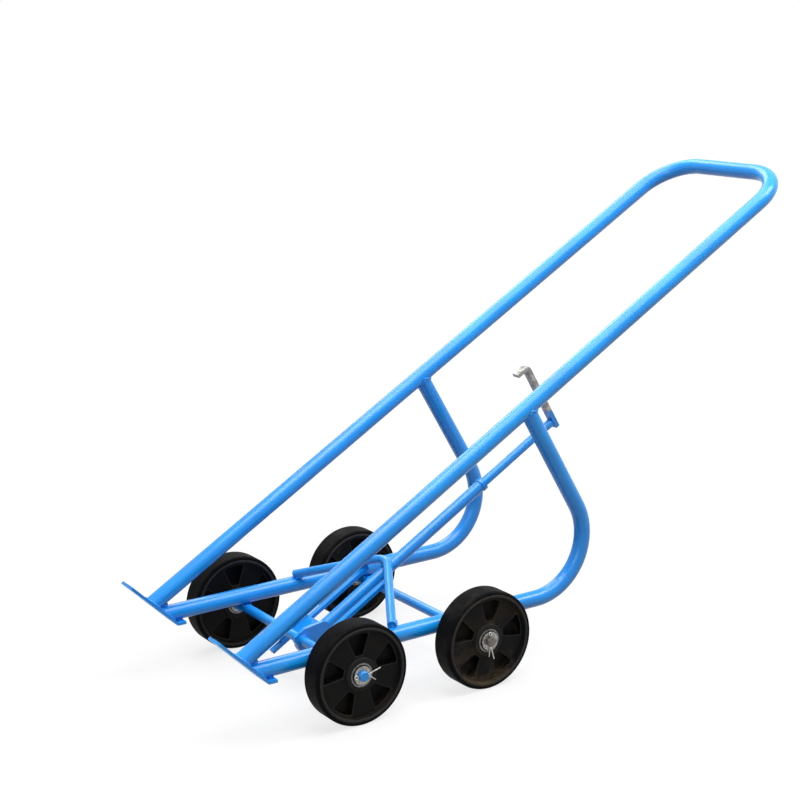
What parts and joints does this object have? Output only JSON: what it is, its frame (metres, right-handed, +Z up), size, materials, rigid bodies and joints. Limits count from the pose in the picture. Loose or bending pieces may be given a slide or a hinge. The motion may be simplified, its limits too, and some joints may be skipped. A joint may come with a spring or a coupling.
{
  "type": "drum trolley",
  "caption": "Wheeled drum trolley of bent blue steel tube: twin rails joined by a handle, toe plates, level base tubes over the axles and a sliding hook for the drum's rim.",
  "frame": {"origin": "on the ground under the middle of the part's box, standing on all its wheels", "axes": "+Z up, +Y towards the handle end, +X towards the operator's left when standing behind the handle"},
  "size_m": [0.55, 1.4402, 0.9535],
  "materials": {
    "blue_paint": "gloss",
    "zinc_plate": "satin",
    "bearing_steel": "satin",
    "tyre_rubber": "matte",
    "wheel_plastic": "matte"
  },
  "bodies": {
    "frame": {"handle_frame": "blue_paint", "base_tube_left": "blue_paint", "base_tube_right": "blue_paint", "toe_plate_left": "blue_paint", "toe_plate_right": "blue_paint", "front_axle": "blue_paint", "rear_axle": "blue_paint", "axle_spacers": "blue_paint", "vee_brace": "blue_paint", "spine_bar_left": "blue_paint", "spine_bar_right": "blue_paint", "axle_bracket_left": "blue_paint", "axle_bracket_right": "blue_paint", "sleeve_strap": "blue_paint", "hook_sleeve": "blue_paint", "sleeve_collar": "blue_paint", "inner_washers": "zinc_plate", "outer_washers": "zinc_plate", "split_pins": "zinc_plate"},
    "hook": {"hook_rod": "blue_paint", "chime_hook": "blue_paint"},
    "front_wheel_left": {"front_tyre_left": "tyre_rubber", "front_wheel_centre_left": "wheel_plastic", "front_wheel_bush_left": "bearing_steel"},
    "front_wheel_right": {"front_tyre_right": "tyre_rubber", "front_wheel_centre_right": "wheel_plastic", "front_wheel_bush_right": "bearing_steel"},
    "rear_wheel_left": {"rear_tyre_left": "tyre_rubber", "rear_wheel_centre_left": "wheel_plastic", "rear_wheel_bush_left": "bearing_steel"},
    "rear_wheel_right": {"rear_tyre_right": "tyre_rubber", "rear_wheel_centre_right": "wheel_plastic", "rear_wheel_bush_right": "bearing_steel"}
  },
  "joints": [
    {"name": "hook_slide", "type": "slide", "parent": "frame", "child": "hook", "axis": [0, 0.8675, 0.4974], "range_m": [-0.2095, 0.12]},
    {"name": "front_wheel_left_spin", "type": "hinge", "parent": "frame", "child": "front_wheel_left", "pos_m": [0.243, -0.45224, 0.1], "axis": [1, 0, 0], "continuous": true},
    {"name": "front_wheel_right_spin", "type": "hinge", "parent": "frame", "child": "front_wheel_right", "pos_m": [-0.243, -0.45224, 0.1], "axis": [1, 0, 0], "continuous": true},
    {"name": "rear_wheel_left_spin", "type": "hinge", "parent": "frame", "child": "rear_wheel_left", "pos_m": [0.243, -0.15774, 0.1], "axis": [1, 0, 0], "continuous": true},
    {"name": "rear_wheel_right_spin", "type": "hinge", "parent": "frame", "child": "rear_wheel_right", "pos_m": [-0.243, -0.15774, 0.1], "axis": [1, 0, 0], "continuous": true}
  ]
}
